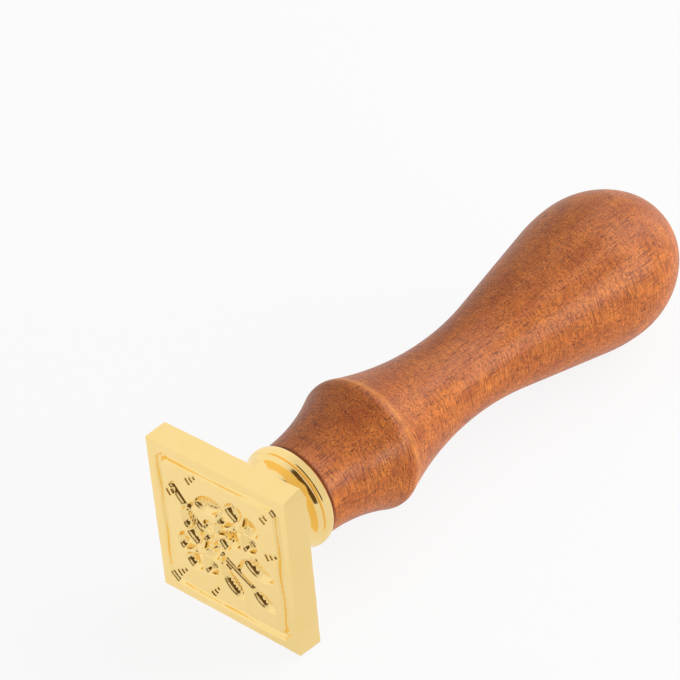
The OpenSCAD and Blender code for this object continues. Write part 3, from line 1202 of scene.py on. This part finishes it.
def wood_colour(sheet, in_mm, in_log, mottle):
    rings = sheet.math("MULTIPLY", growth_rings(sheet, in_log), ring_share)
    tone = sheet.math("ADD", rings, sheet.ease(mottle, 0.3, 0.7, 0.0, mottle_share))
    body = sheet.colours(tone, wood_dark, wood_light)
    for kind, (strength, colour) in wood_layers.items():
        layer = spots(sheet, in_log, kind) if kind in wood_spots else turning_marks(sheet, in_mm)
        body = sheet.colours(sheet.math("MULTIPLY", layer, strength), body, colour)
    along = sheet.part(in_mm, "X")
    # painted highlight: the ridge behind the shoulder turns paler, where it would catch the light
    body = sheet.colours(painted_ridge_highlight(sheet, along, mottle), body, wood_pale_and_highlight)
    # painted shade: the wood next to the collar is darkened, where the corner lies in shade
    return sheet.colours(painted_collar_shade(sheet, along), body, pore_and_shade_colour)


print("layers of the wood's colour, the lowest first:", list(wood_layers))

# %% [markdown]
# ## Lacquered hardwood
# Over the colour lies a thin satin lacquer. It follows the open pores only faintly and sags a
# little, while the wood below keeps its full relief. Two layers of gloss give the soft sheen with a
# clearer streak in it that a single rough one can't.

# %% Wood finish
grain_high = 0.02 * MM
sag_high = 0.02 * MM
lacquer_high = 0.006 * MM
ray_relief = 0.4
wood_smooth, wood_rough = 0.5, 0.62


def wood_finish():
    material = bpy.data.materials.new("lacquered hardwood")
    sheet = Finish(material)
    in_mm = sheet.stamp_mm()
    in_log = log_directions(sheet, in_mm)
    mottle = sheet.noise(sheet.vector("DIVIDE", in_log, mottle_size), detail=3.0)
    rays = sheet.math("MULTIPLY", spots(sheet, in_log, "rays"), ray_relief)
    hollows = sheet.math("ADD", rays, spots(sheet, in_log, "vessels"))
    sunk = sheet.math("MULTIPLY", hollows, -1.0)
    sag = sheet.bump(sheet.noise(in_mm, detail=2.0, scale=0.8), sag_high)
    skin = sheet.add("BsdfPrincipled", {
        "Base Color": wood_colour(sheet, in_mm, in_log, mottle),
        "Roughness": sheet.ease(mottle, 0.3, 0.7, wood_smooth, wood_rough),
        "Normal": sheet.bump(sunk, grain_high),
        "Specular IOR Level": 0.1, "Coat Weight": 0.35, "Coat Roughness": 0.22,
        "Coat Normal": sheet.bump(sunk, lacquer_high, under=sag)})
    sheet.add("OutputMaterial", {"Surface": skin.outputs[0]})
    return material


dress(wooden_handle, wood_finish())

# %% [markdown]
# ## Floor
# The stamp lies on a plain pale table, a single large square.

# %% Floor mesh
FLOOR_HALF = 3.0
floor_corners = [(-FLOOR_HALF, -FLOOR_HALF, 0), (FLOOR_HALF, -FLOOR_HALF, 0),
                 (FLOOR_HALF, FLOOR_HALF, 0), (-FLOOR_HALF, FLOOR_HALF, 0)]
floor_mesh = bpy.data.meshes.new("floor")
floor_mesh.from_pydata(floor_corners, [], [(0, 1, 2, 3)])
floor = bpy.data.objects.new("floor", floor_mesh)
bpy.context.scene.collection.objects.link(floor)
print("floor", 2 * FLOOR_HALF, "m square")

# %% [markdown]
# ## What a ray is for
# Blender tells a material whether a ray comes from the camera, from a mirror, or is only carrying
# light about. A white studio needs that: it has to look white, and look white in the gold, without
# pouring so much light on the wood that its colour washes out. This helper gives each kind of ray
# its own value.

# %% One value for each kind of ray
def by_ray(sheet, to_camera_rays, to_mirrored_rays, to_others):
    """One value for the camera's rays, one for those that mirrors or glass send on, one for others."""
    rays = sheet.add("LightPath").outputs
    sent_on = sheet.math("MAXIMUM", rays["Is Glossy Ray"], rays["Is Transmission Ray"])
    value = sheet.ease(sent_on, 0.0, 1.0, to_others, to_mirrored_rays)
    inputs = {0: rays["Is Camera Ray"], 2: value, 3: to_camera_rays}
    return sheet.add("Mix", inputs).outputs[0]


floor_white = 0.88
floor_mirrored = 0.85
print("the floor is", floor_white, "white light to the eye and", floor_mirrored, "in a mirror")

# %% [markdown]
# ## A floor that stays white
# The floor is mostly plain white light to the camera and to mirrors, and the rest is matt paint that
# catches the soft shadow. In the gold its -Y side is a little darker than its +Y side: a painted
# shadow, in a colour that only mirrors see, for the stamp's shade on the floor beside it. To all other
# rays it is only matt paint, so it throws its light back up under the handle.

# %% Floor finish
white = (1, 1, 1, 1)
floor_colour = (0.95, 0.95, 0.95, 1)
mirrored_floor_shadow = (0.88, 0.88, 0.88, 1)
shadow_full_at, shadow_gone_at = -0.02, 0.01


def floor_finish():
    material = bpy.data.materials.new("pale floor")
    sheet = Finish(material)
    across = sheet.part(sheet.add("TexCoord").outputs["Object"], "Y")
    # painted shadow: mirrors see the floor darker towards its -Y side
    mirrored = sheet.colours(sheet.ease(across, shadow_full_at, shadow_gone_at), mirrored_floor_shadow, white)
    tint = sheet.colours(sheet.add("LightPath").outputs["Is Camera Ray"], mirrored, white)
    matt = sheet.add("BsdfDiffuse", {"Color": floor_colour})
    glow = sheet.add("Emission", {"Color": tint, "Strength": 1.0})
    share = by_ray(sheet, floor_white, floor_mirrored, 0.0)
    both = sheet.add("MixShader", {0: share, 1: matt.outputs[0], 2: glow.outputs[0]})
    sheet.add("OutputMaterial", {"Surface": both.outputs[0]})
    return material


dress(floor, floor_finish())

# %% [markdown]
# ## Camera
# A small thing is photographed with a long lens from some distance, so its far end hardly shrinks.
# The direction, the slight roll and the distance were worked out from the plate's corners and the
# handle's outline in the photo. A camera could be aimed with a Track To constraint, but that can't
# roll it, so its directions are written straight into its matrix.

# %% Set up the camera
camera_aim = Vector((-7.853, 12.726, 17.475)) * MM
camera_round = math.radians(-134.848)
camera_up = math.radians(35.553)
camera_roll = math.radians(-6.07)
camera_far = 384.1 * MM
camera_lens = 148.99
sensor_wide = 36.0


def direction(turn, climb):
    """A direction of length 1, from its angles round the stamp and up from the floor in radians."""
    flat = math.cos(climb)
    return Vector((flat * math.cos(turn), flat * math.sin(turn), math.sin(climb)))


to_camera = direction(camera_round, camera_up)
level_right = (-to_camera).cross(Vector((0, 0, 1))).normalized()
level_up = level_right.cross(-to_camera)
camera_right = level_right * math.cos(camera_roll) + level_up * math.sin(camera_roll)
camera_top = camera_right.cross(-to_camera)
camera_data = bpy.data.cameras.new("camera")
camera_data.lens = camera_lens
camera_data.sensor_width = sensor_wide
camera_data.clip_start = 0.01
camera = bpy.data.objects.new("camera", camera_data)
bpy.context.scene.collection.objects.link(camera)
camera.matrix_world = Matrix((camera_right, camera_top, to_camera)).transposed().to_4x4()
camera.location = camera_aim + to_camera * camera_far
bpy.context.scene.camera = camera
print("camera", round(camera_far, 3), "m away,", round(math.degrees(camera_up), 1), "degrees up")

# %% [markdown]
# ## The slot in the tent
# The studio is a white tent, and a small thing is photographed through a slot in its cloth. The
# polished gold mirrors that dark slot: it draws the brown strokes in the engraving and on the neck,
# and without it the gold would look like yellow paint. A black card could stand in the scene, but
# it would also take light from the wood and get into the picture from behind. So the slot is a
# pattern over the directions of the tent. Only mirror images show it, and it stays where it is when
# the camera moves.

# %% Slot
slot_lean = math.radians(-37)
slot_half = 0.19
slot_blur = 0.06
slot_reach = 0.77
slot_colour = (0.12, 0.07, 0.022, 1)


def camera_slot(sheet, look):
    """1 in the slot, which leans and runs through the camera's place in the tent."""
    slot_long = camera_top * math.cos(slot_lean) + camera_right * math.sin(slot_lean)
    sideways = sheet.measure("DOT_PRODUCT", look, slot_long.cross(to_camera))
    forward = sheet.measure("DOT_PRODUCT", look, to_camera)
    across = sheet.math("ABSOLUTE", sideways)
    narrow = sheet.ease(across, slot_half + slot_blur, slot_half - slot_blur)
    near = sheet.ease(forward, slot_reach - slot_blur, slot_reach + slot_blur)
    return sheet.math("MULTIPLY", narrow, near)


print("the slot leans by", round(math.degrees(slot_lean)), "degrees")

# %% [markdown]
# ## The white tent
# The tent is the world itself. A real mesh could be put round the stamp, but it would have to keep
# clear of the lamps and of every camera. The tent has to be white wherever the gold looks, and in
# mirror images its near side is a little darker. It lights the stamp only dimly, and leaves the
# shaping to the lamps.

# %% White tent
tent_level = 0.3
mirrored_level = 0.98
near_side = (0.84, 0.84, 0.84, 1)
side_blend = 0.5


def tent():
    world = bpy.data.worlds.new("white tent")
    sheet = Finish(world)
    look = sheet.add("TexCoord").outputs["Generated"]
    mirrored = sheet.colours(sheet.ease(sheet.part(look, "Y"), 0.0, side_blend), near_side, white)
    mirrored = sheet.colours(camera_slot(sheet, look), mirrored, slot_colour)
    colour = sheet.colours(sheet.add("LightPath").outputs["Is Glossy Ray"], white, mirrored)
    level = by_ray(sheet, 1.0, mirrored_level, tent_level)
    sky = sheet.add("Background", {"Color": colour, "Strength": level})
    sheet.add("OutputWorld", {"Surface": sky.outputs[0]})
    return world


bpy.context.scene.world = tent()
print("the tent lights at", tent_level)

# %% [markdown]
# ## Soft lamps
# Six soft lamps shape the handle: they lie as long sheens on its lacquer, on the shoulder and under
# the waist. A photographer keeps such lamps from burning white spots into the gold with little
# black flags. Light linking does the same here: the lamps shine only on what is in their
# collection, the wood and the floor, so the gold and the steel mirror the tent and no lamp.

# %% Lamps
LAMP_FAR = 0.6
# name, degrees round, degrees up, side in m, power in W
soft_lamps = [("key lamp", -32, 42, 0.35, 1.05), ("top lamp", 10, 50, 0.35, 0.5),
              ("end lamp", -12, 15, 0.35, 0.5), ("low side lamp", -62, 10, 0.4, 1.7),
              ("small side lamp", -94, 9, 0.16, 0.55), ("low front lamp", 180, 15, 0.5, 0.6)]
lit_things = bpy.data.collections.new("lit by the lamps")
for thing in (wooden_handle, floor):
    lit_things.objects.link(thing)
for name, degrees_round, degrees_up, side, watts in soft_lamps:
    lamp_data = bpy.data.lights.new(name, "AREA")
    lamp_data.size = side
    lamp_data.energy = watts
    lamp = bpy.data.objects.new(name, lamp_data)
    lamp.light_linking.receiver_collection = lit_things
    bpy.context.scene.collection.objects.link(lamp)
    toward = direction(math.radians(degrees_round), math.radians(degrees_up))
    lamp.location = toward * LAMP_FAR
    lamp.rotation_euler = toward.to_track_quat("Z", "Y").to_euler()
    print(name, "at", watts, "W")

# %% [markdown] ## The picture The picture is shown as it is computed, without a film look.

# %% View transform
bpy.context.scene.view_settings.view_transform = "Standard"
